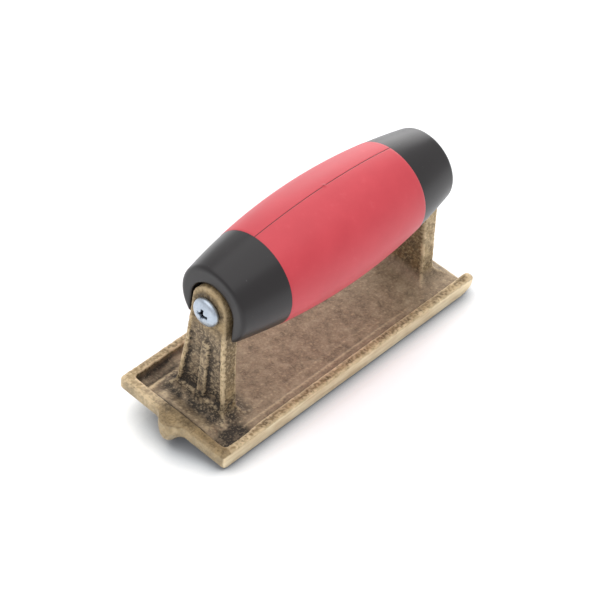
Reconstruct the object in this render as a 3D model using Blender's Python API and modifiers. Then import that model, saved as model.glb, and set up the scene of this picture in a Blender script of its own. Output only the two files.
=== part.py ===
"""Bronze hand groover: a cast tray with a V bit, two posts and a two-shot handle.

Run with: blender --background --python part.py   (metres, +Z up)

The frame stands under the tool: X runs along the bit, Y across the sole, and
Z = 0 is the lowest line of the bit, midway between the nose and the open end.
"""
import math

import bmesh
import bpy
from mathutils import Matrix

MM = 0.001

# ---- driving dimensions -------------------------------------------------
PLATE_LENGTH = 114.3 * MM
PLATE_WIDTH = 42.8 * MM
BIT_DEPTH = 4.76 * MM            # 3/16 inch
BIT_ROOT_WIDTH = 6.4 * MM
BIT_TIP_RADIUS = 1.2 * MM
RIM_HEIGHT = 6.4 * MM            # rim top above the sole
FLOOR_THICKNESS = 3.7 * MM
SIDE_RIM = 2.9 * MM
END_RIM = 3.5 * MM
CORNER_RADIUS = 1.5 * MM
TRAY_CORNER_RADIUS = 1.5 * MM
NEAR_SOLE_RADIUS = 3.0 * MM      # turned-up edge of the sole at -X
FAR_SWEEP = 7.5 * MM             # length of the longer sweep at +X
FAR_SWEEP_RISE = 0.7             # its height, as a share of its length
FLOOR_STOP = 3.2 * MM            # at +X the floor stops this far short of the rims
NOSE_REACH = 3.2 * MM            # at -X the bit's nose stands past the plate
NOSE_RADIUS = 7.0 * MM
NOSE_WIDTH = 6.8 * MM

HANDLE_OFFSET = 2.0 * MM         # posts and handle sit this far past the plate's middle
AXIS_HEIGHT = 43.6 * MM          # handle axis above the sole
HANDLE_LENGTH = 91.8 * MM
HANDLE_MID_RADIUS = 17.4 * MM
HANDLE_END_RADIUS = 12.3 * MM
END_ROUNDING = 1.1 * MM
GRIP_LENGTH = 58.6 * MM
GRIP_THICKNESS = 2.6 * MM

POST_OUTER = 47.3 * MM           # outer face of a post from the handle centre
POST_THICKNESS = 5.8 * MM
EAR_RADIUS = 6.7 * MM
POST_BASE_HALF_WIDTH = 9.9 * MM
POST_BASE_HEIGHT = 5.5 * MM
POST_FLARE = 1.3                 # 1 is a straight taper, more flares the base
FOOT_HEIGHT = 4.5 * MM
FOOT_SPREAD = 2.6 * MM
RAIL = 1.7 * MM                  # raised border of a post's outer face
RIB_HALF_WIDTH = 1.7 * MM
RECESS_DEPTH = 1.5 * MM
RECESS_BASE = 6.4 * MM           # recess and rib heights are above the sole
RECESS_TOP = 37.0 * MM
RIB_TOP = 28.0 * MM

SOCKET_RADIUS = 8.2 * MM
CLEARANCE = 0.3 * MM
GRIP_GAP = 0.15 * MM

SCREW_DROP = 1.2 * MM            # screws and sockets sit this far below the handle's axis
SCREW_HEAD_RADIUS = 4.6 * MM
SCREW_HEAD_HEIGHT = 2.7 * MM
HEAD_WALL = 1.0 * MM             # straight part of the head's side
SCREW_SHANK_RADIUS = 2.3 * MM
SCREW_TIP_RADIUS = 0.7 * MM
SCREW_LENGTH = 25.0 * MM
SCREW_HOLE_RADIUS = 2.7 * MM     # in the posts
BORE_RADIUS = 2.45 * MM          # in the handle core
HEAD_GAP = 0.2 * MM
CROSS_ARM = 2.2 * MM             # half length of the cross recess
CROSS_BLADE = 0.5 * MM           # half its width
CROSS_DEPTH = 1.7 * MM

SOLE_Z = BIT_DEPTH
FLOOR_Z = SOLE_Z + FLOOR_THICKNESS
RIM_Z = SOLE_Z + RIM_HEIGHT
AXIS_Z = SOLE_Z + AXIS_HEIGHT
SCREW_Z = AXIS_Z - SCREW_DROP
PLATE_X = NOSE_REACH / 2         # middle of the plate
HANDLE_X = PLATE_X + HANDLE_OFFSET
HALF_PLATE = PLATE_LENGTH / 2
HALF_WIDTH = PLATE_WIDTH / 2
HALF_HANDLE = HANDLE_LENGTH / 2
HALF_GRIP = GRIP_LENGTH / 2
TURN_STEPS = 52
SCREW_STEPS = 32
WELD = 1e-6
MARGIN = 5.0 * MM                # cutters run this far past what they cut
SINK = 1.0 * MM                  # joined pieces start this far inside each other
STEP_IN = 0.05 * MM              # keeps a joined piece's faces off its neighbour's


# ---- scene helpers ------------------------------------------------------
def clear_scene():
    for old in list(bpy.data.objects):
        bpy.data.objects.remove(old, do_unlink=True)
    for old in list(bpy.data.collections):
        bpy.data.collections.remove(old)


def new_collection(name, hidden=False):
    group = bpy.data.collections.new(name)
    bpy.context.scene.collection.children.link(group)
    group.hide_render = hidden
    return group


def place(name, mesh, group):
    thing = bpy.data.objects.new(name, mesh)
    group.objects.link(thing)
    return thing


def as_cutter(thing):
    thing.hide_render = True
    thing.display_type = 'WIRE'
    return thing


def material(name, color, roughness, metallic):
    paint = bpy.data.materials.new(name)
    paint.use_nodes = True
    shader = paint.node_tree.nodes["Principled BSDF"]
    shader.inputs["Base Color"].default_value = (*color, 1.0)
    shader.inputs["Roughness"].default_value = roughness
    shader.inputs["Metallic"].default_value = metallic
    paint.diffuse_color = (*color, 1.0)
    return paint


def combine(thing, cutter, operation):
    step = thing.modifiers.new(operation.title() + "_" + cutter.name, 'BOOLEAN')
    step.operation = operation
    step.object = cutter
    step.solver = 'EXACT'


# ---- outlines -----------------------------------------------------------
def arc(centre, radius, start, end, steps, rise=1.0):
    """Points on an arc, angles in degrees, both ends included; rise flattens it into an ellipse."""
    points = []
    for index in range(steps + 1):
        angle = math.radians(start + (end - start) * index / steps)
        points.append((centre[0] + radius * math.cos(angle), centre[1] + rise * radius * math.sin(angle)))
    return points


# A 2D curve's x, y and thickness axes, turned onto the axes named.
FACING = {
    "XY": Matrix.Identity(4),
    "XZ": Matrix.Rotation(math.radians(90), 4, 'X'),
    "YZ": Matrix.Rotation(math.radians(90), 4, 'Z') @ Matrix.Rotation(math.radians(90), 4, 'X'),
}


def slab(name, outline, facing, thickness, centre, group):
    """A closed flat piece with the given outline, as a mesh object."""
    curve = bpy.data.curves.new(name, 'CURVE')
    curve.dimensions = '2D'
    curve.fill_mode = 'BOTH'
    curve.extrude = thickness / 2
    spline = curve.splines.new('POLY')
    spline.points.add(len(outline) - 1)
    for point, (u, v) in zip(spline.points, outline):
        point.co = (u, v, 0.0, 1.0)
    spline.use_cyclic_u = True
    shape = bpy.data.objects.new(name + "_curve", curve)
    bpy.context.scene.collection.objects.link(shape)
    bpy.context.view_layer.update()
    evaluated = shape.evaluated_get(bpy.context.evaluated_depsgraph_get())
    mesh = bpy.data.meshes.new_from_object(evaluated)
    bpy.data.objects.remove(shape, do_unlink=True)
    mesh.name = name
    shaper = bmesh.new()
    shaper.from_mesh(mesh)
    bmesh.ops.remove_doubles(shaper, verts=shaper.verts, dist=WELD)
    bmesh.ops.transform(shaper, matrix=Matrix.Translation(centre) @ FACING[facing], verts=shaper.verts)
    bmesh.ops.recalc_face_normals(shaper, faces=shaper.faces)
    shaper.to_mesh(mesh)
    shaper.free()
    return place(name, mesh, group)


def rod(name, radius, length, centre, sides, group):
    """A cylinder along X."""
    mesh = bpy.data.meshes.new(name)
    shaper = bmesh.new()
    bmesh.ops.create_cone(shaper, cap_ends=True, segments=sides, radius1=radius, radius2=radius, depth=length)
    turn = Matrix.Translation(centre) @ Matrix.Rotation(math.radians(90), 4, 'Y')
    bmesh.ops.transform(shaper, matrix=turn, verts=shaper.verts)
    shaper.to_mesh(mesh)
    shaper.free()
    return place(name, mesh, group)


def turned(name, profile, closed, steps, group):
    """A profile of (radius, height) points, top to bottom on its outer side, turned about Z."""
    mesh = bpy.data.meshes.new(name)
    vertices = [(radius, 0.0, height) for radius, height in profile]
    edges = [(index, index + 1) for index in range(len(profile) - 1)]
    if closed:
        edges.append((len(profile) - 1, 0))
    mesh.from_pydata(vertices, edges, [])
    thing = place(name, mesh, group)
    screw = thing.modifiers.new("Turn", 'SCREW')
    screw.axis = 'Z'
    screw.steps = steps
    screw.render_steps = steps
    screw.use_merge_vertices = True
    screw.merge_threshold = WELD
    screw.use_smooth_shade = True
    return thing


# ---- casting ------------------------------------------------------------
def plate_side_outline():
    """The plate seen from -Y, about its middle: square top edges, turned-up sole at both ends."""
    near = arc((-HALF_PLATE + NEAR_SOLE_RADIUS, SOLE_Z + NEAR_SOLE_RADIUS), NEAR_SOLE_RADIUS, 180, 270, 6)
    far_centre = (HALF_PLATE - FAR_SWEEP, SOLE_Z + FAR_SWEEP * FAR_SWEEP_RISE)
    far = arc(far_centre, FAR_SWEEP, 270, 360, 8, FAR_SWEEP_RISE)
    return [(-HALF_PLATE, RIM_Z)] + near + far + [(HALF_PLATE, RIM_Z)]


def rounded_rectangle(half_x, half_y, radius, steps):
    points = []
    for corner, (side_x, side_y) in enumerate(((1, 1), (-1, 1), (-1, -1), (1, -1))):
        centre = (side_x * (half_x - radius), side_y * (half_y - radius))
        points += arc(centre, radius, corner * 90, corner * 90 + 90, steps)
    return points


def bit_section():
    """The bit across X: parallel nose from just above the sole, V with a round tip below it."""
    half = BIT_ROOT_WIDTH / 2
    root = SOLE_Z + STEP_IN
    tip_centre = BIT_TIP_RADIUS
    lean = math.degrees(math.atan2(half - BIT_TIP_RADIUS, root - tip_centre))
    tip = arc((0.0, tip_centre), BIT_TIP_RADIUS, 180 + lean, 360 - lean, 8)
    return [(-half, RIM_Z)] + [(-half, root)] + tip + [(half, root)] + [(half, RIM_Z)]


def bit_side_outline():
    """The bit seen from -Y: swept up into a nose at -X, and level with the rims' ends at +X."""
    nose = -HALF_PLATE - NOSE_REACH
    near = arc((nose + NOSE_RADIUS, NOSE_RADIUS), NOSE_RADIUS, 180, 270, 8)
    far = arc((HALF_PLATE - NOSE_RADIUS, NOSE_RADIUS), NOSE_RADIUS, 270, 360, 8)
    return [(nose, RIM_Z)] + near + far + [(HALF_PLATE, RIM_Z)]


def half_width_at(height):
    """Half width of a post at a height above the sole."""
    share = (AXIS_HEIGHT - height) / (AXIS_HEIGHT - POST_BASE_HEIGHT)
    return EAR_RADIUS + (POST_BASE_HALF_WIDTH - EAR_RADIUS) * share ** POST_FLARE


def post_outline(steps=6):
    """A post seen along X: tapered sides that run into a round ear."""
    base = FLOOR_THICKNESS - SINK
    levels = [base + (AXIS_HEIGHT - base) * index / steps for index in range(steps)]
    right = [(half_width_at(level), SOLE_Z + level) for level in levels]
    ear = arc((0.0, AXIS_Z), EAR_RADIUS, 0, 180, 14)
    return right + ear + [(-y, z) for y, z in reversed(right)]


def recess_outline(steps=4):
    """The sunk panel on a post's outer face, an arch around the middle rib."""
    base = RECESS_BASE
    levels = [base + (RECESS_TOP - base) * index / steps for index in range(steps + 1)]
    right = [(half_width_at(level) - RAIL, SOLE_Z + level) for level in levels]
    left = [(-y, z) for y, z in reversed(right)]
    rib = [(-RIB_HALF_WIDTH, SOLE_Z + base), (-RIB_HALF_WIDTH, SOLE_Z + RIB_TOP)]
    return right + left + rib + [(-y, z) for y, z in reversed(rib)]


def foot(name, centre_x, group):
    """A flared collar where a post grows out of the floor."""
    mesh = bpy.data.meshes.new(name)
    shaper = bmesh.new()
    bmesh.ops.create_cube(shaper, size=1.0)
    half_y = half_width_at(FLOOR_THICKNESS + FOOT_HEIGHT) - STEP_IN
    half_x = POST_THICKNESS / 2 - STEP_IN
    for vertex in shaper.verts:
        low = vertex.co.z < 0
        spread = FOOT_SPREAD if low else 0.0
        vertex.co.x = centre_x + math.copysign(half_x + spread, vertex.co.x)
        vertex.co.y = math.copysign(half_y + spread, vertex.co.y)
        vertex.co.z = FLOOR_Z - SINK if low else FLOOR_Z + FOOT_HEIGHT
    shaper.to_mesh(mesh)
    shaper.free()
    return place(name, mesh, group)


def build_casting(parts, cutters):
    wide = PLATE_WIDTH + 2 * MARGIN
    tall = RIM_Z + 2 * MARGIN
    middle = (PLATE_X, 0, 0)
    tray_half = HALF_WIDTH - SIDE_RIM
    body = slab("groover_casting", plate_side_outline(), "XZ", wide, middle, parts)
    plan = rounded_rectangle(HALF_PLATE, HALF_WIDTH, CORNER_RADIUS, 4)
    combine(body, as_cutter(slab("plate_plan", plan, "XY", 2 * tall, middle, cutters)), 'INTERSECT')
    floor_end = HALF_PLATE - FLOOR_STOP
    past_end = HALF_PLATE + MARGIN
    stop_half = tray_half - STEP_IN
    stop = [(floor_end, -stop_half), (past_end, -stop_half), (past_end, stop_half), (floor_end, stop_half)]
    combine(body, as_cutter(slab("floor_stop", stop, "XY", 2 * tall, middle, cutters)), 'DIFFERENCE')

    reach = HALF_PLATE + NOSE_REACH
    bit = as_cutter(slab("bit_bar", bit_section(), "YZ", 2 * reach + MARGIN, middle, cutters))
    combine(bit, as_cutter(slab("bit_side", bit_side_outline(), "XZ", wide, middle, cutters)), 'INTERSECT')
    stem = rounded_rectangle(HALF_PLATE + NOSE_REACH / 2, NOSE_WIDTH / 2, BIT_ROOT_WIDTH / 2, 6)
    combine(bit, as_cutter(slab("bit_plan", stem, "XY", 2 * tall, (0, 0, 0), cutters)), 'INTERSECT')
    combine(body, bit, 'UNION')

    tray_start = -HALF_PLATE + END_RIM
    corner = TRAY_CORNER_RADIUS
    tray = [(past_end, -tray_half), (past_end, tray_half)]
    tray += arc((tray_start + corner, tray_half - corner), corner, 90, 180, 4)
    tray += arc((tray_start + corner, -tray_half + corner), corner, 180, 270, 4)
    depth = MARGIN
    cut = slab("tray_cut", tray, "XY", depth, (PLATE_X, 0, FLOOR_Z + depth / 2), cutters)
    combine(body, as_cutter(cut), 'DIFFERENCE')

    for side, label in ((-1, "front"), (1, "rear")):
        centre_x = HANDLE_X + side * (POST_OUTER - POST_THICKNESS / 2)
        outer_x = HANDLE_X + side * POST_OUTER
        post = slab(label + "_post", post_outline(), "YZ", POST_THICKNESS, (centre_x, 0, 0), cutters)
        combine(post, as_cutter(foot(label + "_foot", centre_x, cutters)), 'UNION')
        sunk = slab(label + "_recess", recess_outline(), "YZ", 2 * RECESS_DEPTH, (outer_x, 0, 0), cutters)
        combine(post, as_cutter(sunk), 'DIFFERENCE')
        combine(body, as_cutter(post), 'UNION')
        hole = rod(label + "_hole", SCREW_HOLE_RADIUS, 4 * POST_THICKNESS, (centre_x, 0, SCREW_Z), 24, cutters)
        combine(body, as_cutter(hole), 'DIFFERENCE')
    body.data.materials.append(material("cast_bronze", (0.42, 0.29, 0.16), 0.45, 0.9))
    return body


# ---- handle -------------------------------------------------------------
def handle_radius(distance):
    """Outer radius of the handle at a distance from its middle."""
    return HANDLE_MID_RADIUS - (HANDLE_MID_RADIUS - HANDLE_END_RADIUS) * (distance / HALF_HANDLE) ** 2


def barrel(start, end, steps, inset=0.0):
    """Points (radius, height) of the handle's outside from start down to end."""
    heights = [start + (end - start) * index / steps for index in range(steps + 1)]
    return [(handle_radius(height) - inset, height) for height in heights]


def lay_along_x(thing, centre_x):
    thing.rotation_euler = (0.0, math.radians(90), 0.0)
    thing.location = (centre_x, 0.0, AXIS_Z)


def core_profile():
    face = HALF_HANDLE
    shoulder = HALF_GRIP + GRIP_GAP
    corner = (handle_radius(face) - END_ROUNDING, face - END_ROUNDING)
    top = [(0.0, face)] + arc(corner, END_ROUNDING, 90, 10, 4)
    top += barrel(face - END_ROUNDING * 1.2, shoulder, 3)
    middle = barrel(shoulder, -shoulder, 6, GRIP_THICKNESS)
    bottom = [(radius, -height) for radius, height in reversed(top)]
    return top + middle + bottom


def build_core(parts, cutters):
    core = turned("handle_core", core_profile(), False, TURN_STEPS, parts)
    lay_along_x(core, HANDLE_X)
    for side, label in ((-1, "front"), (1, "rear")):
        inner = POST_OUTER - POST_THICKNESS - CLEARANCE
        outer = HALF_HANDLE + MARGIN
        arch = arc((0.0, SCREW_Z), SOCKET_RADIUS, 0, 180, 16)
        low = AXIS_Z - HANDLE_MID_RADIUS - MARGIN
        outline = arch + [(-SOCKET_RADIUS, low), (SOCKET_RADIUS, low)]
        centre = (HANDLE_X + side * (inner + outer) / 2, 0, 0)
        socket = slab(label + "_socket", outline, "YZ", outer - inner, centre, cutters)
        combine(core, as_cutter(socket), 'DIFFERENCE')
        depth = SCREW_LENGTH - POST_THICKNESS + SINK
        middle = (HANDLE_X + side * (inner - depth / 2 + MARGIN / 2), 0, SCREW_Z)
        bore = rod(label + "_bore", BORE_RADIUS, depth + MARGIN, middle, 24, cutters)
        combine(core, as_cutter(bore), 'DIFFERENCE')
    core.data.materials.append(material("black_plastic", (0.035, 0.035, 0.038), 0.38, 0.0))
    return core


def build_grip(parts):
    outside = barrel(HALF_GRIP, -HALF_GRIP, 12)
    inside = [(radius - GRIP_THICKNESS + GRIP_GAP, -height) for radius, height in outside]
    grip = turned("handle_grip", outside + inside, True, TURN_STEPS, parts)
    lay_along_x(grip, HANDLE_X)
    grip.data.materials.append(material("red_rubber", (0.62, 0.06, 0.08), 0.5, 0.0))
    return grip


# ---- screws -------------------------------------------------------------
def screw_profile(steps=5):
    """A pan head above Z = 0 and its shank below, to a blunt tip."""
    crown = SCREW_HEAD_HEIGHT - HEAD_WALL
    head = [(0.0, SCREW_HEAD_HEIGHT)]
    for index in range(1, steps + 1):
        angle = math.radians(90 - 90 * index / steps)
        head.append((SCREW_HEAD_RADIUS * math.cos(angle) ** 0.8, HEAD_WALL + crown * math.sin(angle)))
    shank = [
        (SCREW_HEAD_RADIUS, 0.0),
        (SCREW_SHANK_RADIUS, 0.0),
        (SCREW_SHANK_RADIUS, -SCREW_LENGTH + SCREW_SHANK_RADIUS),
        (SCREW_TIP_RADIUS, -SCREW_LENGTH),
        (0.0, -SCREW_LENGTH),
    ]
    return head + shank


def build_screws(parts, cutters):
    zinc = material("zinc_plate", (0.72, 0.76, 0.82), 0.3, 1.0)
    for side, label in ((-1, "front"), (1, "rear")):
        screw = turned(label + "_screw", screw_profile(), False, SCREW_STEPS, parts)
        turn = Matrix.Rotation(math.radians(90 * side), 4, 'Y')
        seat = (HANDLE_X + side * (POST_OUTER + HEAD_GAP), 0.0, SCREW_Z)
        screw.matrix_world = Matrix.Translation(seat) @ turn
        for blade, half_y, half_z in (("flat", CROSS_ARM, CROSS_BLADE), ("upright", CROSS_BLADE, CROSS_ARM)):
            outline = [(-half_y, -half_z), (half_y, -half_z), (half_y, half_z), (-half_y, half_z)]
            outline = [(y, z + SCREW_Z) for y, z in outline]
            face = POST_OUTER + HEAD_GAP + SCREW_HEAD_HEIGHT
            centre = (HANDLE_X + side * (face - CROSS_DEPTH + MARGIN / 2), 0, 0)
            cross = slab("%s_cross_%s" % (label, blade), outline, "YZ", MARGIN, centre, cutters)
            combine(screw, as_cutter(cross), 'DIFFERENCE')
        screw.data.materials.append(zinc)


def main():
    clear_scene()
    parts = new_collection("hand_groover")
    cutters = new_collection("cutters", hidden=True)
    build_casting(parts, cutters)
    build_core(parts, cutters)
    build_grip(parts)
    build_screws(parts, cutters)
    bpy.context.view_layer.update()


main()
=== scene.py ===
"""Looks for the bronze concrete groover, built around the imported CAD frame.

Shapes are written in millimetres as distance fields, which are negative inside, and become fine meshes.
"""

import math

import bpy
import numpy as np
import openvdb
from mathutils import Matrix, Vector, noise


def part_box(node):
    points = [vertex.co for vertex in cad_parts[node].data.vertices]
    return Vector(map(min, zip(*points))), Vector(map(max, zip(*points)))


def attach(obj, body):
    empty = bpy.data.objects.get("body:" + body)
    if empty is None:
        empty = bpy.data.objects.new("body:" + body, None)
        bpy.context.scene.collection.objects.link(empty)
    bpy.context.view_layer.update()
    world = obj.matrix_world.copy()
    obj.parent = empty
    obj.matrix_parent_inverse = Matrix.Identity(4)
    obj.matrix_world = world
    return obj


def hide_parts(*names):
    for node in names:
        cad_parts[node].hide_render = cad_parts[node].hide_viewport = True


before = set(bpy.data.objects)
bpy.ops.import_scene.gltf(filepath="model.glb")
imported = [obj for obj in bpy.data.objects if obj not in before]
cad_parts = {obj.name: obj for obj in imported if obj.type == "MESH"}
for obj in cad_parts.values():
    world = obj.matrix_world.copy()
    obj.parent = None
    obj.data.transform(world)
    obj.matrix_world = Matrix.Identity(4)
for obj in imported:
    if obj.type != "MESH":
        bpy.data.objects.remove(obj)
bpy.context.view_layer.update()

MM = 0.001

# ---- sizes read from the frame, in mm -----------------------------------
casting_low, casting_high = (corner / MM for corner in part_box("groover_casting"))
grip_low, grip_high = (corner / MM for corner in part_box("handle_grip"))
core_low, core_high = (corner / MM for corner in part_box("handle_core"))
screw_low, screw_high = (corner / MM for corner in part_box("rear_screw"))

NOSE_REACH = 3.2                             # at -X the bit's nose stands past the plate
PLATE_X = (casting_low.x + NOSE_REACH + casting_high.x) / 2
HALF_PLATE = casting_high.x - PLATE_X
HALF_WIDTH = casting_high.y
AXIS_Z = (grip_low.z + grip_high.z) / 2      # handle axis
HANDLE_X = (grip_low.x + grip_high.x) / 2    # middle of the handle and posts
HALF_GRIP = (grip_high.x - grip_low.x) / 2
HALF_HANDLE = (core_high.x - core_low.x) / 2
MID_RADIUS = (grip_high.z - grip_low.z) / 2
SCREW_Z = (screw_low.z + screw_high.z) / 2
HEAD_RADIUS = (screw_high.z - screw_low.z) / 2
HEAD_TOP = screw_high.x - HANDLE_X           # screw head's top from the handle's middle
SHANK_END = screw_low.x - HANDLE_X

# ---- sizes of the casting, in mm ----------------------------------------
SOLE_Z = 4.76
FLOOR_Z = SOLE_Z + 3.7
RIM_Z = SOLE_Z + 6.4
SIDE_RIM = 2.9
END_RIM = 3.5
PLAN_CORNER = 1.4
FAR_CORNER = 1.8 * PLAN_CORNER
TRAY_CORNER = 1.5
TRAY_PAST = 20.0                             # what is hollowed out runs on past the plate by this
SOLE_EDGE = 0.7
NEAR_SWEEP = 3.0                             # the sole's turned-up edge at -X
NEAR_SWEEP_HEIGHT = 3.8
FAR_SWEEP = 7.5                              # and at +X
FAR_SWEEP_HEIGHT = 5.3
FLOOR_END = HALF_PLATE - 3.2                 # the floor stops short of the rims at +X
BIT_MIDDLE = -NOSE_REACH / 2                 # from the plate's middle
HALF_BIT = HALF_PLATE + NOSE_REACH / 2
BIT_ROOT = 3.2                               # half width where the bit meets the sole
BIT_TIP = 1.2
NOSE_SWEEP = 7.0
NOSE_HALF_WIDTH = 3.4
STEM_CORNER = 3.2

POST_OUTER = 47.3                            # from the handle's middle
POST_THICKNESS = 5.8
POST_FOOT = SOLE_Z + 1.8                     # inside the plate
EAR_RADIUS = 6.7
BASE_HALF_WIDTH = 9.9
BASE_HEIGHT = 5.5                            # heights on a post are above the sole
POST_FLARE = 1.3
RAIL = 1.7
RIB_HALF_WIDTH = 1.6
RIB_TOP = 29.0
RIB_EDGE = 1.0
RECESS_BASE = 7.0
RECESS_TOP = 37.0
RECESS_DEPTH = 1.5
RECESS_EASE = (20.0, 36.0)                   # between these the recess grows shallower
RECESS_SHALLOWER = 0.9
HOLE_RADIUS = 2.7
HEAD_SHADE_SHIFT = 0.5                             # painted shade round a screw's head is off centre by this much

# ---- widths of the casting's roundings and fillets, in mm ---------------
FINE_EDGE = 0.6                              # the handle's sockets have it too
CAST_EDGE = 0.8
POST_EDGE = 0.9
RIM_EDGE = 1.5
RIM_TIP_EDGE = 1.6
TRAY_FILLET = 1.0
POST_FILLET = 4.2                            # a post's fillet grows by this from its foot to the floor
POST_FOOT_FILLET = 0.2
NOSE_FILLET = 2.4                            # the bit's fillet grows by this towards the plate's ends

# ---- relief of the tray and rims, in mm ---------------------------------
# Places are from the plate's middle. A pair is where a smooth step starts and ends.
CORNER_FADE = (-42.0, -38.0)                 # the +Y corner's ridge and pocket end here
RIDGE_Y = 13.2
RIDGE_SPREAD = 1.1
RIDGE_HEIGHT = 0.5
POCKET_EDGE = (13.6, 15.4)
POCKET_DEPTH = 0.8
BAND_END = (-52.2, -47.0)                    # raised band inside the -X rim
BAND_NEAR = (-14.0, -9.0)
BAND_FAR = (8.0, 12.0)
BAND_HEIGHT = 1.7
STEPS = ((0.28, (-15.6, -14.9)), (0.10, (-12.0, -11.4)))  # height, then where it ends across the plate
STEPS_START = (-46.0, -40.0)
STEPS_END = (24.0, 42.0)
WORN_LENGTH = 2.5                            # the floor is worn down by its open end
WORN_DEPTH = 0.35
HUMP_HEIGHT = 0.7                            # on the rims near their ends at +X
HUMP_SPREAD = 1.6
TIP_START = FLOOR_END + 0.6
TIP_DROP = 1.2
NARROW_END = (-47.0, -38.0)                  # the -Y rim is narrower up to here
NARROW_BY = 0.6

# ---- sizes of the handle and screws, in mm ------------------------------
END_RADIUS = 12.3
END_ROUNDING = 1.3
GRIP_THICKNESS = 2.6
GRIP_GAP = 0.15
WAIST_EDGE = 0.1
SHOULDER_EDGE = 0.35
SOCKET_RADIUS = 8.2
SOCKET_BACK = 41.2                           # from the handle's middle
BORE_RADIUS = 2.45
BORE_PAST = 1.0                              # the bore goes past the screw's tip by this
SEAM_LEAN = 5.0                              # degrees from the top, towards +Y
SEAM_SPREAD = 0.13
SEAM_DEPTH = 0.14
NUB_SPREAD = 0.55                            # a small nub in the middle of the top seam
NUB_HEIGHT = 0.35
HEAD_HEIGHT = 2.7
CROWN_DROP = 1.35
SHANK_RADIUS = 2.3
CROSS_TURN = 2.0                             # degrees
THREAD_PITCH = 1.4
THREAD_DEPTH = 0.28
THREAD_RUNOUT = (HEAD_TOP - HEAD_HEIGHT - 7.0, HEAD_TOP - HEAD_HEIGHT - 6.0)
SHANK_TOP = HEAD_TOP - 0.75 * HEAD_HEIGHT    # inside the head
TIP_RADIUS = 0.7
TIP_TAPER = 0.7                              # radius gained for each mm from the tip
CROSS_DEPTH = 1.9
CROSS_REACH = 2.3
CROSS_TAPER = 0.65
SLOT_HALF_WIDTH = 0.58
SLOT_TAPER = 0.1
HEAD_EDGE = 0.7
SCREW_EDGE = 0.3
STEEP = 0.8                                  # keeps the thread's and tip's fields from overstating distance


# ---- distance fields ----------------------------------------------------
def join(a, b, blend):
    """Union of two fields, with a fillet about as wide as blend."""
    share = np.clip(0.5 + 0.5 * (b - a) / blend, 0.0, 1.0)
    return b + (a - b) * share - blend * share * (1.0 - share)


def keep(a, b, blend):
    """What lies inside both fields, with its edge rounded."""
    return -join(-a, -b, blend)


def cut(a, b, blend):
    """Field a with field b taken away."""
    return keep(a, -b, blend)


def rounded_box(u, v, half_u, half_v, corner):
    """Distance to a rectangle with round corners; corner may differ from point to point."""
    over_u = np.abs(u) - half_u + corner
    over_v = np.abs(v) - half_v + corner
    outside = np.hypot(np.maximum(over_u, 0.0), np.maximum(over_v, 0.0))
    return outside + np.minimum(np.maximum(over_u, over_v), 0.0) - corner


def ease(value, start, end):
    """0 before start, 1 after end, and a smooth step between them."""
    share = np.clip((value - start) / (end - start), 0.0, 1.0)
    return share * share * (3.0 - 2.0 * share)


def post_half_width(z):
    share = np.clip((AXIS_Z - z) / (AXIS_Z - SOLE_Z - BASE_HEIGHT), 0.0, 1.2)
    return EAR_RADIUS + (BASE_HALF_WIDTH - EAR_RADIUS) * share ** POST_FLARE


def floor_height(x, y):
    """The tray's floor: ridge and pocket in the +Y corner, raised band at -X and steps by the -Y rim."""
    corner = 1.0 - ease(x, *CORNER_FADE)
    ridge = RIDGE_HEIGHT * np.exp(-((y - RIDGE_Y) / RIDGE_SPREAD) ** 2)
    pocket = POCKET_DEPTH * ease(y, *POCKET_EDGE)
    band = BAND_HEIGHT * (1.0 - ease(x, *BAND_END)) * ease(y, *BAND_NEAR) * (1.0 - ease(y, *BAND_FAR))
    steps = sum(height * (1.0 - ease(y, *edge)) for height, edge in STEPS)
    steps = steps * ease(x, *STEPS_START) * (1.0 - ease(x, *STEPS_END))
    worn_end = WORN_DEPTH * ease(x, FLOOR_END - WORN_LENGTH, FLOOR_END)
    return FLOOR_Z + corner * (ridge - pocket) + band + steps - worn_end


def sole_sweep(x, z):
    """The plate seen from the side, whose sole turns up at both ends."""
    reach = np.where(x < 0, NEAR_SWEEP, FAR_SWEEP)
    height = np.where(x < 0, NEAR_SWEEP_HEIGHT, FAR_SWEEP_HEIGHT)
    out = np.maximum(np.abs(x) - HALF_PLATE + reach, 0.0) / reach
    down = np.maximum(SOLE_Z + height - z, 0.0) / height
    return (np.hypot(out, down) - 1.0) * np.minimum(reach, height)


def rim_top(x):
    """The rims' height, with a hump near their ends at +X and a slope down past it."""
    hump = HUMP_HEIGHT * np.exp(-((x - FLOOR_END) / HUMP_SPREAD) ** 2)
    return RIM_Z + hump - TIP_DROP * ease(x, TIP_START, HALF_PLATE)


def plate_field(x, y, z):
    plan = rounded_box(x, y, HALF_PLATE, HALF_WIDTH, np.where(x < 0, PLAN_CORNER, FAR_CORNER))
    slab = keep(plan, z - rim_top(x), RIM_EDGE)
    slab = keep(slab, sole_sweep(x, z), SOLE_EDGE)
    gap = np.maximum(FLOOR_END - x, np.abs(y) - HALF_WIDTH + SIDE_RIM)
    return cut(slab, gap, RIM_TIP_EDGE)


def bit_field(x, y, z):
    from_middle = x - BIT_MIDDLE
    past = np.clip(np.abs(from_middle) - (HALF_BIT - NOSE_SWEEP), 0.0, NOSE_SWEEP)
    lift = NOSE_SWEEP - np.sqrt(NOSE_SWEEP ** 2 - past ** 2)
    above_tip = SOLE_Z - BIT_TIP
    lean = math.acos(BIT_TIP / math.hypot(BIT_ROOT, above_tip)) - math.atan2(above_tip, BIT_ROOT)
    out = np.abs(y)
    up = z - lift - BIT_TIP
    along = out * math.sin(lean) + up * math.cos(lean)
    flank = out * math.cos(lean) - up * math.sin(lean)
    wedge = np.where(along < 0.0, np.hypot(out, up), flank) - BIT_TIP
    stem = rounded_box(from_middle, y, HALF_BIT, NOSE_HALF_WIDTH, STEM_CORNER)
    return keep(keep(wedge, stem, CAST_EDGE), z - RIM_Z, CAST_EDGE)


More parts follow.
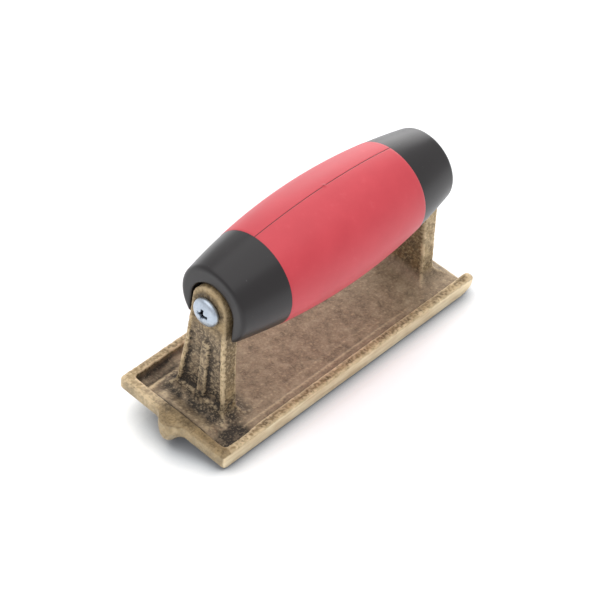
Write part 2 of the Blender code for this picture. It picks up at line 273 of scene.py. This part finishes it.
def tray_field(x, y, z):
    """What is hollowed out above the floor, open at +X."""
    start = -HALF_PLATE + END_RIM
    length = HALF_PLATE + TRAY_PAST - start
    half_width = HALF_WIDTH - SIDE_RIM + NARROW_BY * (1.0 - ease(x, *NARROW_END)) * (y < 0)
    plan = rounded_box(x - start - length / 2, y, length / 2, half_width, TRAY_CORNER)
    return keep(plan, floor_height(x, y) - z, TRAY_FILLET)


def post_field(x, y, z):
    """Both posts, with the sunk panels and middle ribs of their outer faces."""
    from_middle = np.abs(x - HANDLE_X)
    out = np.abs(y)
    half_width = post_half_width(z)
    outline = np.where(z > AXIS_Z, np.hypot(y, z - AXIS_Z) - EAR_RADIUS, out - half_width)
    thick = np.abs(from_middle - POST_OUTER + POST_THICKNESS / 2) - POST_THICKNESS / 2
    post = np.maximum(keep(outline, thick, POST_EDGE), POST_FOOT - z)
    height = z - SOLE_Z
    panel = np.maximum(out - half_width + RAIL, height - RECESS_TOP)
    panel = np.maximum(panel, RECESS_BASE - height)
    rib = keep(out - RIB_HALF_WIDTH, height - RIB_TOP, RIB_EDGE)
    panel = cut(panel, rib, FINE_EDGE)
    depth = RECESS_DEPTH - RECESS_SHALLOWER * ease(height, *RECESS_EASE)
    sunk = keep(panel, POST_OUTER - depth - from_middle, POST_EDGE)
    return cut(post, sunk, POST_EDGE)


def casting_field(x, y, z):
    along = x - PLATE_X
    plate = plate_field(along, y, z)
    fillet = CAST_EDGE + NOSE_FILLET * ease(np.abs(along), HALF_PLATE - 3.0, HALF_PLATE - 0.5)
    body = join(plate, bit_field(along, y, z), fillet)
    body = keep(body, z - rim_top(along), CAST_EDGE)
    body = cut(body, tray_field(along, y, z), FINE_EDGE)
    spread = POST_FOOT_FILLET + POST_FILLET * ease(z, POST_FOOT - 0.6, FLOOR_Z)
    body = join(body, post_field(x, y, z), spread)
    hole = np.hypot(y, z - SCREW_Z) - HOLE_RADIUS
    return np.maximum(body, -hole)


def handle_radius(from_middle):
    return MID_RADIUS - (MID_RADIUS - END_RADIUS) * (from_middle / HALF_HANDLE) ** 2


def core_field(x, y, z):
    """The black core, with a socket at each end.

    Under the grip it is a shell round a hollow, in the grip's own space. A thinner solid core was meant.
    """
    from_middle = np.abs(x - HANDLE_X)
    radius = np.hypot(y, z - AXIS_Z)
    slope = 2 * (MID_RADIUS - END_RADIUS) / HALF_HANDLE ** 2 * from_middle
    barrel = (radius - handle_radius(from_middle)) / np.hypot(1.0, slope)
    body = keep(barrel, from_middle - HALF_HANDLE, END_ROUNDING)
    sunk = GRIP_THICKNESS - handle_radius(from_middle) + radius
    waist = keep(from_middle - HALF_GRIP - GRIP_GAP, sunk, WAIST_EDGE)
    body = cut(body, waist, SHOULDER_EDGE)
    from_screw = np.hypot(y, z - SCREW_Z)
    down = np.where(z > SCREW_Z, from_screw, np.abs(y))
    socket = keep(down - SOCKET_RADIUS, SOCKET_BACK - from_middle, FINE_EDGE)
    body = cut(body, socket, FINE_EDGE)
    bore = np.maximum(from_screw - BORE_RADIUS, SHANK_END - BORE_PAST - from_middle)
    return np.maximum(body, -bore)


def screw_field(x, y, z):
    """A pan head screw along +X with a cross recess and a thread, x from the handle's middle."""
    radius = np.hypot(y, z)
    crown_radius = (HEAD_RADIUS ** 2 + CROWN_DROP ** 2) / (2 * CROWN_DROP)
    crown = np.hypot(x - HEAD_TOP + crown_radius, radius) - crown_radius
    head = keep(keep(crown, radius - HEAD_RADIUS, HEAD_EDGE), HEAD_TOP - HEAD_HEIGHT - x, SCREW_EDGE)
    depth = np.clip(HEAD_TOP - x, 0.0, CROSS_DEPTH + 0.5)
    turn = math.radians(CROSS_TURN)
    across = y * math.cos(turn) + z * math.sin(turn)
    upright = z * math.cos(turn) - y * math.sin(turn)
    reach = CROSS_REACH - CROSS_TAPER * depth
    half_width = SLOT_HALF_WIDTH - SLOT_TAPER * depth
    arms = [
        np.maximum(np.abs(a) - reach, np.abs(b) - half_width)
        for a, b in ((across, upright), (upright, across))
    ]
    cross = join(arms[0], arms[1], 0.5)
    cross = keep(cross, HEAD_TOP - CROSS_DEPTH - x, SCREW_EDGE)
    head = cut(head, cross, 0.22)
    helix = x / THREAD_PITCH + np.arctan2(z, y) / (2 * math.pi)
    ridge = np.abs((helix % 1.0) * 2.0 - 1.0)
    started = 1.0 - ease(x, *THREAD_RUNOUT)
    shank = (radius - SHANK_RADIUS + THREAD_DEPTH * ridge * started) * STEEP
    tip = (radius - (x - SHANK_END) * TIP_TAPER - TIP_RADIUS) * STEEP
    shank = np.maximum(np.maximum(shank, tip), np.maximum(SHANK_END - x, x - SHANK_TOP))
    return join(head, shank, SCREW_EDGE)


# ---- fields into meshes -------------------------------------------------
BLOCK = 8                                    # cells along a block's side


def surface(field, low, high, cell):
    """Points and quads of a field's surface. Only blocks of cells that it may cross are worked out."""
    low = np.array(low) - 2 * cell
    counts = np.ceil((np.array(high) + 2 * cell - low) / (cell * BLOCK)).astype(int)
    size = cell * BLOCK
    ids = np.indices(counts).reshape(3, -1).T
    centres = low + (ids + 0.5 - 0.5 / BLOCK) * size
    rough = field(*centres.T)
    near = np.abs(rough) < size * 1.25
    grid = np.empty(tuple(counts * BLOCK), np.float32)
    split = (counts[0], BLOCK, counts[1], BLOCK, counts[2], BLOCK)
    blocks = grid.reshape(split).transpose(0, 2, 4, 1, 3, 5)
    blocks[...] = np.where(rough < 0, -size, size).reshape(*counts, 1, 1, 1)
    steps = np.indices((BLOCK, BLOCK, BLOCK)).reshape(3, -1).T * cell
    places = ids[near]
    for part in np.array_split(places, max(1, len(places) // 1500)):
        spots = (low + part * size)[:, None, :] + steps
        values = field(spots[..., 0], spots[..., 1], spots[..., 2])
        blocks[part[:, 0], part[:, 1], part[:, 2]] = values.reshape(-1, BLOCK, BLOCK, BLOCK)
    volume = openvdb.FloatGrid(background=float(size))
    volume.copyFromArray(grid)
    points, quads = volume.convertToQuads()
    return low + points.astype(float) * cell, quads.astype(np.int32)


def slope_of(field, points, reach=0.04):
    """A field's unit gradient, which is the surface's outward normal."""
    sides = []
    for axis in range(3):
        step = np.zeros(3)
        step[axis] = reach
        sides.append(field(*(points + step).T) - field(*(points - step).T))
    slope = np.stack(sides, axis=1)
    return slope / np.maximum(np.linalg.norm(slope, axis=1, keepdims=True), 1e-9)


def settled(field, points, rounds=2):
    """Points moved onto the field's surface."""
    for _ in range(rounds):
        points = points - slope_of(field, points) * field(*points.T)[:, None]
    return points


def averaged(values, quads, rounds):
    """Values at the vertices, each replaced by its neighbours' average a number of times."""
    ends = np.concatenate([quads, np.roll(quads, 1, axis=1)]).ravel()
    starts = np.concatenate([np.roll(quads, 1, axis=1), quads]).ravel()
    count = np.bincount(ends, minlength=len(values))
    for _ in range(rounds):
        sums = [np.bincount(ends, column, len(values)) for column in values[starts].T]
        values = np.stack(sums, axis=1) / count[:, None]
    return values


def piece_from(name, points, quads, paint):
    """A smooth mesh object, placed in the frame, that rides on the tool."""
    mesh = bpy.data.meshes.new(name)
    mesh.vertices.add(len(points))
    mesh.vertices.foreach_set("co", (points * MM).ravel())
    mesh.loops.add(quads.size)
    mesh.loops.foreach_set("vertex_index", quads.ravel())
    mesh.polygons.add(len(quads))
    mesh.polygons.foreach_set("loop_start", np.arange(len(quads), dtype=np.int32) * 4)
    mesh.update(calc_edges=True)
    mesh.validate()
    mesh.shade_smooth()
    mesh.materials.append(paint)
    thing = bpy.data.objects.new(name, mesh)
    bpy.context.scene.collection.objects.link(thing)
    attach(thing, "root")
    return thing


def set_mask(thing, name, values):
    layer = thing.data.attributes.new(name, 'FLOAT', 'POINT')
    layer.data.foreach_set("value", np.clip(values, 0.0, 1.0).astype(np.float32))


def lumps(points, size, octaves=3, seed=0.0):
    """Noise from about -1 to 1 whose largest lumps are about as wide as size, in mm."""
    places = points / size + seed
    return np.array([noise.fractal(place, 0.8, 2.0, octaves) for place in places.tolist()])


# ---- materials ----------------------------------------------------------
class Paint:
    """A material's node tree, with short calls that add and link nodes."""

    def __init__(self, name):
        self.material = bpy.data.materials.new(name)
        self.material.use_nodes = True
        self.tree = self.material.node_tree
        self.shader = self.tree.nodes["Principled BSDF"]
        self.place = self.tree.nodes.new("ShaderNodeTexCoord").outputs["Object"]

    def add(self, kind, settings=(), **inputs):
        node = self.tree.nodes.new("ShaderNode" + kind)
        for key, value in dict(settings).items():
            setattr(node, key, value)
        for key, value in inputs.items():
            self.feed(node.inputs[int(key[1:]) if key[1:].isdigit() else key.replace("_", " ")], value)
        return node

    def feed(self, target, value):
        if isinstance(value, bpy.types.NodeSocket):
            self.tree.links.new(value, target)
        else:
            target.default_value = value

    def math(self, operation, a, b=0.0, clamp=False):
        return self.add("Math", {"operation": operation, "use_clamp": clamp}, _0=a, _1=b).outputs[0]

    def stretched(self, scale):
        mapping = self.add("Mapping", Vector=self.place, Scale=scale)
        return mapping.outputs[0]

    def noise(self, size, detail=4.0, roughness=0.6, vector=None):
        """Noise from 0 to 1, with features about size mm across. With a vector, size is its scale."""
        scale = 1.0 / (size * MM) if vector is None else size
        vector = vector or self.place
        found = self.add("TexNoise", Vector=vector, Scale=scale, Detail=detail, Roughness=roughness)
        return found.outputs["Fac"]

    def mask(self, name):
        return self.add("Attribute", {"attribute_name": name}).outputs["Fac"]

    def ramp(self, value, stops):
        """A colour or grey for each place along value."""
        node = self.add("ValToRGB", Fac=value)
        while len(node.color_ramp.elements) < len(stops):
            node.color_ramp.elements.new(0.5)
        for element, (place, color) in zip(node.color_ramp.elements, stops):
            element.position = place
            element.color = (*color, 1.0) if isinstance(color, tuple) else (color, color, color, 1.0)
        return node.outputs["Color"]

    def mix(self, share, a, b):
        node = self.add("Mix", {"data_type": 'RGBA'}, _0=share)
        self.feed(node.inputs[6], (*a, 1.0) if isinstance(a, tuple) else a)
        self.feed(node.inputs[7], (*b, 1.0) if isinstance(b, tuple) else b)
        return node.outputs[2]

    def blend(self, share, a, b):
        node = self.add("Mix", {"data_type": 'FLOAT'}, _0=share, _2=a, _3=b)
        return node.outputs[0]

    def bump(self, height, distance, strength=1.0, normal=None):
        node = self.add("Bump", Height=height, Distance=distance * MM, Strength=strength)
        if normal is not None:
            self.feed(node.inputs["Normal"], normal)
        return node.outputs[0]

    def finish(self, **inputs):
        for key, value in inputs.items():
            self.feed(self.shader.inputs[key.replace("_", " ")], value)
        return self.material


# The dark of sooty hollows, also used for painted shade.
SOOT_AND_SHADE = (0.040, 0.031, 0.023)
CAST_DARK = (0.18, 0.130, 0.086)
CAST_MID = (0.33, 0.245, 0.160)
CAST_LIGHT = (0.48, 0.375, 0.255)
OLIVE_DARK = (0.11, 0.073, 0.034)
OLIVE_LIGHT = (0.42, 0.295, 0.140)
# The pale of rubbed bronze, also used for painted light on the rear post's sides.
WORN_AND_LIT = (0.72, 0.560, 0.350)
GROUND_LOW = (0.74, 0.57, 0.35)
GROUND_HIGH = (0.97, 0.82, 0.56)


def bronze():
    """Oxidised sand casting, olive on its raised parts, sooty in hollows, pale where it is ground or where it
    wears; the sooty dark also paints shade in the tray, on the posts and round the screw heads, the pale of
    wear paints light on the rear post's sides, and faces turned to -X are painted less pale, as shade.
    """
    paint = Paint("cast_bronze")
    ground = paint.mask("ground")
    soot_and_shade = paint.mask("soot_and_shade")
    worn_and_lit = paint.mask("worn_and_lit")
    raised = paint.mask("raised")
    mottle = paint.noise(3.2, 6.0, 0.66)
    grain = paint.noise(0.55, 4.0, 0.7)
    spread = paint.math('ADD', paint.math('MULTIPLY', mottle, 0.62), paint.math('MULTIPLY', grain, 0.38))
    cast = paint.ramp(spread, [(0.36, CAST_DARK), (0.50, CAST_MID), (0.66, CAST_LIGHT)])
    olive = paint.ramp(spread, [(0.38, OLIVE_DARK), (0.64, OLIVE_LIGHT)])
    cast = paint.mix(raised, cast, olive)
    scratches = paint.noise(1.0, 2.0, 0.5, paint.stretched((25.0, 900.0, 900.0)))
    lines = paint.ramp(scratches, [(0.60, 0.0), (0.72, 1.0)])
    cast = paint.mix(paint.math('MULTIPLY', lines, 0.10), cast, WORN_AND_LIT)
    specks = paint.ramp(paint.noise(0.6, 3.0, 0.7), [(0.54, 0.0), (0.64, 1.0)])
    # Wear, and painted light on the rear post's sides.
    cast = paint.mix(worn_and_lit, cast, WORN_AND_LIT)
    # Soot, and painted shade in the tray, on the posts and round the screw heads.
    cast = paint.mix(paint.math('MULTIPLY', soot_and_shade, paint.blend(specks, 1.0, 0.45)), cast, SOOT_AND_SHADE)
    brushed = paint.noise(1.0, 3.0, 0.6, paint.stretched((60.0, 1200.0, 700.0)))
    cloud = paint.noise(5.0, 3.0, 0.5)
    shine = paint.math('ADD', paint.math('MULTIPLY', brushed, 0.6), paint.math('MULTIPLY', cloud, 0.4))
    pale = paint.ramp(shine, [(0.36, GROUND_LOW), (0.62, GROUND_HIGH)])
    # Less pale on faces turned to -X: painted shade carried by the ground mask.
    color = paint.mix(ground, cast, pale)
    rough_cast = paint.math('ADD', paint.math('MULTIPLY', grain, 0.25), 0.45)
    rough = paint.blend(soot_and_shade, paint.blend(ground, rough_cast, 0.40), 0.8)
    metal = paint.blend(soot_and_shade, paint.blend(ground, 0.35, 0.60), 0.1)
    relief = paint.blend(ground, grain, paint.math('MULTIPLY', brushed, 0.25))
    normal = paint.bump(relief, 0.14, 0.8)
    return paint.finish(Base_Color=color, Roughness=rough, Metallic=metal, Normal=normal)


def black_plastic():
    paint = Paint("black_plastic")
    grain = paint.noise(0.35, 3.0, 0.6)
    cloud = paint.noise(9.0, 3.0, 0.5)
    dust = paint.ramp(paint.noise(1.1, 2.0, 0.5), [(0.72, 0.0), (0.80, 1.0)])
    color = paint.mix(paint.math('MULTIPLY', dust, 0.12), (0.020, 0.0175, 0.0185), (0.35, 0.34, 0.33))
    rough = paint.math('ADD', paint.math('MULTIPLY', cloud, 0.10), 0.27)
    paint.shader.inputs["Specular IOR Level"].default_value = 0.40
    return paint.finish(Base_Color=color, Roughness=rough, Normal=paint.bump(grain, 0.02, 0.35))


def red_rubber():
    paint = Paint("red_rubber")
    grain = paint.noise(0.30, 4.0, 0.65)
    cloud = paint.noise(12.0, 4.0, 0.55)
    seam = paint.mask("seam")
    scuffs = paint.ramp(paint.noise(3.0, 6.0, 0.7), [(0.60, 0.0), (0.78, 1.0)])
    color = paint.ramp(cloud, [(0.25, (0.56, 0.040, 0.058)), (0.75, (0.64, 0.055, 0.075))])
    color = paint.mix(paint.math('MULTIPLY', scuffs, 0.10), color, (0.72, 0.22, 0.24))
    color = paint.mix(paint.math('MULTIPLY', seam, 0.65), color, (0.20, 0.012, 0.02))
    rough = paint.math('ADD', paint.math('MULTIPLY', cloud, 0.10), 0.42)
    paint.shader.inputs["Sheen Weight"].default_value = 0.05
    paint.shader.inputs["Sheen Roughness"].default_value = 0.5
    return paint.finish(Base_Color=color, Roughness=rough, Normal=paint.bump(grain, 0.03, 0.35))


def zinc_plate():
    paint = Paint("zinc_plate")
    cloud = paint.noise(1.5, 4.0, 0.6)
    fine = paint.noise(0.25, 2.0, 0.6)
    color = paint.ramp(cloud, [(0.3, (0.40, 0.46, 0.54)), (0.7, (0.56, 0.62, 0.70))])
    hollow = paint.mask("hollow")
    # The cross recess is painted dark: painted shade.
    color = paint.mix(hollow, color, (0.06, 0.07, 0.09))
    rough = paint.math('ADD', paint.math('MULTIPLY', cloud, 0.2), 0.26)
    return paint.finish(Base_Color=color, Roughness=rough, Metallic=0.95, Normal=paint.bump(fine, 0.01, 0.4))


# ---- pieces -------------------------------------------------------------
def ground_zone(points, normals):
    """The plate's outer edges, up to a ragged line below the rims' tops, and its underside. Faces turned to
    -X get less of it, as painted shade.
    """
    x, y, z = points.T
    ragged = 0.35 * lumps(points, 1.6, 3, 11.0)
    outside = rounded_box(x - PLATE_X, y, HALF_PLATE, HALF_WIDTH, PLAN_CORNER) > -0.5
    sideways = 1.0 - ease(np.abs(normals[:, 2]), 0.55, 0.85)
    ground = sideways * outside * (1.0 - ease(z + ragged, RIM_Z - 1.3, RIM_Z - 0.7))
    # Faces turned to -X keep less of the pale colour: painted shade.
    ground = ground * (1.0 - 0.75 * ease(-normals[:, 0], 0.4, 0.8))
    return np.maximum(ground, ease(-normals[:, 2], 0.4, 0.75) * (z < SOLE_Z + 3.5))


def post_zones(points, normals):
    """The kinds of surface on and round the posts. Only the front post has a chipped edge."""
    x, y, z = points.T
    out = np.abs(y)
    height = z - SOLE_Z
    from_middle = np.abs(x - HANDLE_X)
    front = x < HANDLE_X
    post = ease(height, 5.0, 8.0) * (from_middle > 36.0)
    face = post * (from_middle > POST_OUTER - RECESS_DEPTH - 0.6)
    panel = face * (out < post_half_width(z) - RAIL + 0.3) * (1.0 - ease(height, 30.0, 38.0))
    beside = np.maximum(out - BASE_HALF_WIDTH, 0.0)
    before = np.maximum(np.abs(from_middle - POST_OUTER + POST_THICKNESS / 2) - POST_THICKNESS / 2, 0.0)
    near = 1.0 - ease(np.hypot(before * np.where(front, 0.8, 1.6), beside), 1.2, 6.0)
    near = near * np.where(front, 1.0, 0.2)
    low = (1.0 - ease(height, 8.0, 14.0)) * (height > 3.0)
    from_screw = np.hypot(y - 0.6 * HEAD_SHADE_SHIFT, z - SCREW_Z - HEAD_SHADE_SHIFT)
    chipped = ease(height, 20.0, 25.0) * (1.0 - ease(height, 34.0, 38.0))
    return {
        "post": post,
        "panel": panel,
        # The posts' inner faces, under the handle, get painted shade.
        "inner": post * (from_middle < POST_OUTER - POST_THICKNESS + 0.6),
        # Side faces: painted light on the rear post's, painted shade on the front post's.
        "side": post * ease(np.abs(normals[:, 1]), 0.5, 0.8),
        "skirt": near * low * (from_middle > 34.0),
        "ear": face * ease(height, 33.0, 38.0),
        # A painted shadow round the screw head, on the ear's face, off centre.
        "head_shade": face * (1.0 - ease(from_screw, HEAD_RADIUS, HEAD_RADIUS + 1.6)),
        "chipped": chipped * post * (x < 0) * (y > 4.5),
    }


def rim_zones(points):
    """The rims and nose, with the -X rim's smooth near half and worn far half."""
    x, y, z = points.T
    along = x - PLATE_X
    height = z - SOLE_Z
    from_middle = np.abs(x - HANDLE_X)
    rim = (z > RIM_Z - 1.3) * (height < 8.5)
    rim = rim * (1.0 - ease(from_middle, 36.0, 38.0) * (np.abs(y) < 14.0))
    by_side = np.abs(y) > HALF_WIDTH - SIDE_RIM - 0.7
    rim = rim * (by_side | (np.abs(along) > HALF_PLATE - END_RIM - 0.7))
    nose = (along < -HALF_PLATE + 0.6) * (height > -2.0)
    near_half = (along < -HALF_PLATE + END_RIM + 0.3) * (1.0 - ease(y, 3.0, 9.0)) * (height > -2.0)
    far_half = (along < -HALF_PLATE + END_RIM) * ease(y, 4.0, 9.0) * (height > 3.0)
    return {"rim": np.maximum(rim, nose), "near_half": near_half, "far_half": far_half}


def stain_zone(points):
    """Painted shade in the tray: its -X, -Y corner, its +Y pocket, and a dark line along the crevice by the
    -X rim.
    """
    x, y, z = points.T
    along = x - PLATE_X
    out = np.abs(y)
    height = z - SOLE_Z
    corner = 1.0 - ease(np.hypot((along + 48.0) / 7.5, (y + 16.2) / 3.8), 0.5, 1.2)
    pocket = (1.0 - ease(along, -40.0, -36.0)) * ease(y, 13.6, 14.6) * (out < HALF_WIDTH - SIDE_RIM + 0.3)
    crevice = (1.0 - ease(np.abs(along + HALF_PLATE - END_RIM - 0.2), 0.2, 0.6)) * (out < 18.0)
    stain = np.maximum(np.maximum(corner, 0.45 * pocket), 0.8 * crevice)
    return stain * (height < 6.0) * (height > 2.0)


def casting_zones(points, normals):
    """How far each kind of surface holds at each point, from 0 to 1."""
    zones = post_zones(points, normals)
    zones.update(rim_zones(points))
    zones["ground"] = ground_zone(points, normals)
    # Painted shade in the tray's corner, pocket and crevice.
    zones["stain"] = stain_zone(points)
    zones["raised"] = np.maximum(zones["rim"], zones["post"] * (1.0 - zones["panel"]))
    zones["smooth"] = np.maximum(zones["near_half"], 0.75 * zones["ear"])
    return zones


def roughened(points, normals, zones, broad, fine, crust):
    """Points moved by the sand casting's lumps, and by the pits of its panels, skirts and chipped edge."""
    cast = 1.0 - zones["ground"]
    rough = np.maximum(zones["panel"], 0.75 * zones["skirt"])
    move = cast * (0.05 * broad + 0.05 * fine) + cast * rough * (0.13 * crust + 0.08 * fine)
    move += cast * 0.5 * zones["raised"] * 0.09 * fine
    move -= zones["chipped"] * ease(crust + broad, -0.1, 0.8) * 0.22
    points = points + normals * move[:, None]
    low = (casting_low.x, casting_low.y, 0.0)
    high = (casting_high.x, casting_high.y, np.inf)
    return np.clip(points, low, high)


def wear_masks(points, quads, normals, zones, crust):
    """Masks for places of wear and sooty places, from the zones and how far a point stands out of its
    surroundings. The wear mask also holds painted light on the rear post's sides, and the sooty one painted
    shade in the tray, on the posts and round the screw heads.
    """
    cast = 1.0 - zones["ground"]
    broad_relief = np.einsum('ij,ij->i', points - averaged(points, quads, 12), normals)
    fine_relief = np.einsum('ij,ij->i', points - averaged(points, quads, 2), normals)
    tops = ease(fine_relief, 0.004, 0.03)
    patch = ease(lumps(points, 2.2, 3, 63.0), -0.5, 0.5)
    rear = points[:, 0] > 0
    worn_and_lit = ease(broad_relief, 0.05, 0.26) * (0.15 + 0.5 * patch) + tops * 0.45
    # The rear post's side faces are painted lighter: painted light.
    worn_and_lit = worn_and_lit * (1.0 - 0.8 * zones["smooth"]) + 0.45 * zones["side"] * patch * rear
    worn_and_lit += 0.35 * zones["far_half"] * (0.4 + 0.6 * patch)
    hollow = ease(-broad_relief, 0.03, 0.25) * (1.0 - 0.8 * zones["chipped"])
    blotch = lumps(points, 4.0, 4, 3.0)
    # Stains on the panels and skirts, and painted shade on the posts' inner faces and in the tray.
    stained = 0.70 * zones["panel"] + 0.90 * zones["skirt"] + 0.45 * zones["inner"] + 0.95 * zones["stain"]
    # The front post's side faces are painted darker: painted shade.
    stained += 0.35 * zones["side"] * ~rear
    soot_and_shade = 0.35 * zones["stain"] + stained * ease(blotch + 0.5 * crust, -1.0, 0.3)
    # Soot in hollows, and the painted shadow round the screw heads.
    soot_and_shade += 0.45 * hollow + 0.65 * zones["head_shade"]
    return worn_and_lit * cast, soot_and_shade * cast * (1.0 - 0.6 * tops)


def build_casting():
    cell = 0.36
    points, quads = surface(casting_field, casting_low, casting_high, cell)
    normals = slope_of(casting_field, points)
    zones = casting_zones(points, normals)
    broad = lumps(points, 3.6, 3, 7.0)
    fine = lumps(points, 1.1, 3, 21.0)
    crust = lumps(points, 1.7, 4, 43.0)
    points = roughened(points, normals, zones, broad, fine, crust)
    worn_and_lit, soot_and_shade = wear_masks(points, quads, normals, zones, crust)

    casting = piece_from("casting", points, quads, bronze())
    set_mask(casting, "ground", zones["ground"])
    set_mask(casting, "raised", 0.9 * np.maximum(zones["raised"], zones["smooth"]))
    # The sooty mask also holds painted shade, and the wear mask painted light on the rear post's sides.
    set_mask(casting, "soot_and_shade", soot_and_shade)
    set_mask(casting, "worn_and_lit", worn_and_lit)
    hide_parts("groover_casting")


def build_core():
    cell = 0.38
    points, quads = surface(core_field, core_low, core_high, cell)
    core = piece_from("core", settled(core_field, points), quads, black_plastic())
    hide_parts("handle_core")


def grip_profile():
    """(distance along the handle, radius) round the grip's section: outside, then back along the inside."""
    edge = 0.5
    proud = 0.08                             # the grip stands this far out of the core's curve
    whole = np.linspace(-1, 1, 90) * (HALF_GRIP - edge)
    nub_rows = np.linspace(-1.5, 1.5, 13)
    rows = np.unique(np.concatenate([whole, nub_rows]))
    outside = [(along, handle_radius(along) + proud) for along in rows]
    rounding = [math.radians(angle) for angle in (25, 50, 75, 90)]
    rise = handle_radius(HALF_GRIP) + proud - edge
    right = [(HALF_GRIP - edge + edge * math.sin(a), rise + edge * math.cos(a)) for a in rounding]
    left = [(-along, radius) for along, radius in reversed(right)]
    back = np.linspace(1, -1, 16) * HALF_GRIP
    inside = [(along, handle_radius(along) - GRIP_THICKNESS + GRIP_GAP) for along in back]
    return np.array(left + outside + right + inside)


def build_grip():
    """Turned from its profile, with rows set close together at the seams on its top and underside."""
    profile = grip_profile()
    fine = np.array([0.07, 0.14, 0.22, 0.32, 0.5, 0.8, 1.2]) / MID_RADIUS
    turns = np.concatenate([[0.0], fine, np.linspace(0.1, math.pi - 0.1, 88), math.pi - fine[::-1]])
    turns = np.concatenate([turns, turns + math.pi])
    turn, row = np.meshgrid(turns, np.arange(len(profile)), indexing='ij')
    along = profile[row, 0]
    radius = profile[row, 1]
    arc = np.abs((turn + math.pi / 2) % math.pi - math.pi / 2) * radius
    outer = radius > handle_radius(along) - 0.4
    groove = np.exp(-(arc / SEAM_SPREAD) ** 2) * outer
    on_top = (turn < 1.0) | (turn > 5.5)
    nub = np.exp(-((arc / NUB_SPREAD) ** 2 + (along / NUB_SPREAD) ** 2)) * outer * on_top
    radius = radius - SEAM_DEPTH * groove + NUB_HEIGHT * nub
    lean = turn + math.radians(SEAM_LEAN)
    points = np.stack([HANDLE_X + along, radius * np.sin(lean), AXIS_Z + radius * np.cos(lean)], axis=-1)
    here = np.arange(turn.size).reshape(turn.shape)
    beyond = np.roll(here, -1, axis=0)
    quads = np.stack([here, np.roll(here, -1, axis=1), np.roll(beyond, -1, axis=1), beyond], axis=-1)
    grip = piece_from("grip", points.reshape(-1, 3), quads.reshape(-1, 4).astype(np.int32), red_rubber())
    set_mask(grip, "seam", (groove + 0.5 * nub).ravel())
    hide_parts("handle_grip")


def build_screws():
    cell = 0.13
    low = (SHANK_END, -HEAD_RADIUS, -HEAD_RADIUS)
    high = (HEAD_TOP, HEAD_RADIUS, HEAD_RADIUS)
    points, quads = surface(screw_field, low, high, cell)
    points = settled(screw_field, points, 1)
    x, y, z = points.T
    # Marks the cross recess for its painted shade.
    hollow = ease(HEAD_TOP - x, 0.6, 1.2) * (np.hypot(y, z) < 2.8) * (x > HEAD_TOP - 2.2)
    paint = zinc_plate()
    for side, name, node in ((-1, "front_pan_screw", "front_screw"), (1, "rear_pan_screw", "rear_screw")):
        placed = np.stack([HANDLE_X + side * x, side * y, SCREW_Z + z], axis=1)
        screw = piece_from(name, placed, quads, paint)
        set_mask(screw, "hollow", hollow)
        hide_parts(node)


# ---- stage --------------------------------------------------------------
CAMERA_AT = Vector((-398.15, -301.58, 521.96)) * MM
VIEW_AZIMUTH = 52.72                         # degrees from +Y towards +X
VIEW_DOWN = 45.03
VIEW_ROLL = -8.24
LENS = 141.1
REST_SLOPE = 0.215                           # the tool rests on its bit and its -Y sole edge
SLOPE_HALF = 22.0 * MM                       # the slope ends this far from the bit
LEVELLING = 8.0 * MM
CONTACT_REACH = 12.0 * MM


def build_camera():
    camera = bpy.data.objects.new("camera", bpy.data.cameras.new("camera"))
    camera.data.lens = LENS
    camera.data.sensor_width = 36.0
    camera.data.clip_start = 0.01
    turn = Matrix.Rotation(math.radians(-VIEW_AZIMUTH), 4, 'Z')
    tip = Matrix.Rotation(math.radians(90 - VIEW_DOWN), 4, 'X')
    roll = Matrix.Rotation(math.radians(-VIEW_ROLL), 4, 'Z')
    camera.matrix_world = Matrix.Translation(CAMERA_AT) @ turn @ tip @ roll
    bpy.context.scene.collection.objects.link(camera)
    bpy.context.scene.camera = camera


def white_floor():
    """White, with a painted cool shadow where something stands on it or close to it, from an ambient
    occlusion node; it glows a little in the same colour, so that it stays white.
    """
    paint = Paint("white_floor")
    shade = paint.add("AmbientOcclusion", {"samples": 16}, Distance=CONTACT_REACH).outputs["AO"]
    # Painted contact shadow: cool grey close by, white further off.
    contact_shadow_tints = [(0.40, (0.28, 0.30, 0.34)), (0.62, (0.60, 0.63, 0.67)), (0.88, (0.96, 0.97, 0.98))]
    color = paint.ramp(shade, contact_shadow_tints)
    paint.feed(paint.shader.inputs["Emission Color"], color)
    return paint.finish(Base_Color=color, Roughness=0.9, Emission_Strength=0.15)


def build_floor():
    """A white floor that slopes under the tipped tool and is level further out."""
    reach = 1.5
    across = np.concatenate([[-reach], np.linspace(-0.08, 0.08, 81), [reach]])
    sloped = np.clip(across, -SLOPE_HALF, SLOPE_HALF)
    heights = -REST_SLOPE * (sloped + LEVELLING * np.tanh((across - sloped) / LEVELLING))
    vertices = [(x, y, z) for x in (-reach, reach) for y, z in zip(across, heights)]
    count = len(across)
    faces = [(i + 1, i, count + i, count + i + 1) for i in range(count - 1)]
    mesh = bpy.data.meshes.new("floor")
    mesh.from_pydata(vertices, [], faces)
    mesh.shade_smooth()
    mesh.materials.append(white_floor())
    floor = bpy.data.objects.new("floor", mesh)
    bpy.context.scene.collection.objects.link(floor)


def add_softbox(name, place, width, watts):
    light = bpy.data.objects.new(name, bpy.data.lights.new(name, 'AREA'))
    light.data.shape = 'SQUARE'
    light.data.size = width
    light.data.energy = watts
    light.location = place
    towards = Vector((0.0, 0.0, 0.03)) - light.location
    light.rotation_euler = towards.to_track_quat('-Z', 'Y').to_euler()
    bpy.context.scene.collection.objects.link(light)


def build_lights():
    world = bpy.data.worlds.new("studio")
    world.use_nodes = True
    sky = world.node_tree.nodes["Background"]
    sky.inputs["Color"].default_value = (1.0, 1.0, 1.0, 1.0)
    sky.inputs["Strength"].default_value = 0.70
    bpy.context.scene.world = world
    add_softbox("top_light", (0.0, 0.10, 1.0), 1.6, 7.5)
    add_softbox("back_light", (0.75, 0.57, 0.16), 0.7, 3.9)
    bpy.context.scene.view_settings.view_transform = 'Standard'


build_camera()
build_casting()
build_core()
build_grip()
build_screws()
build_floor()
build_lights()
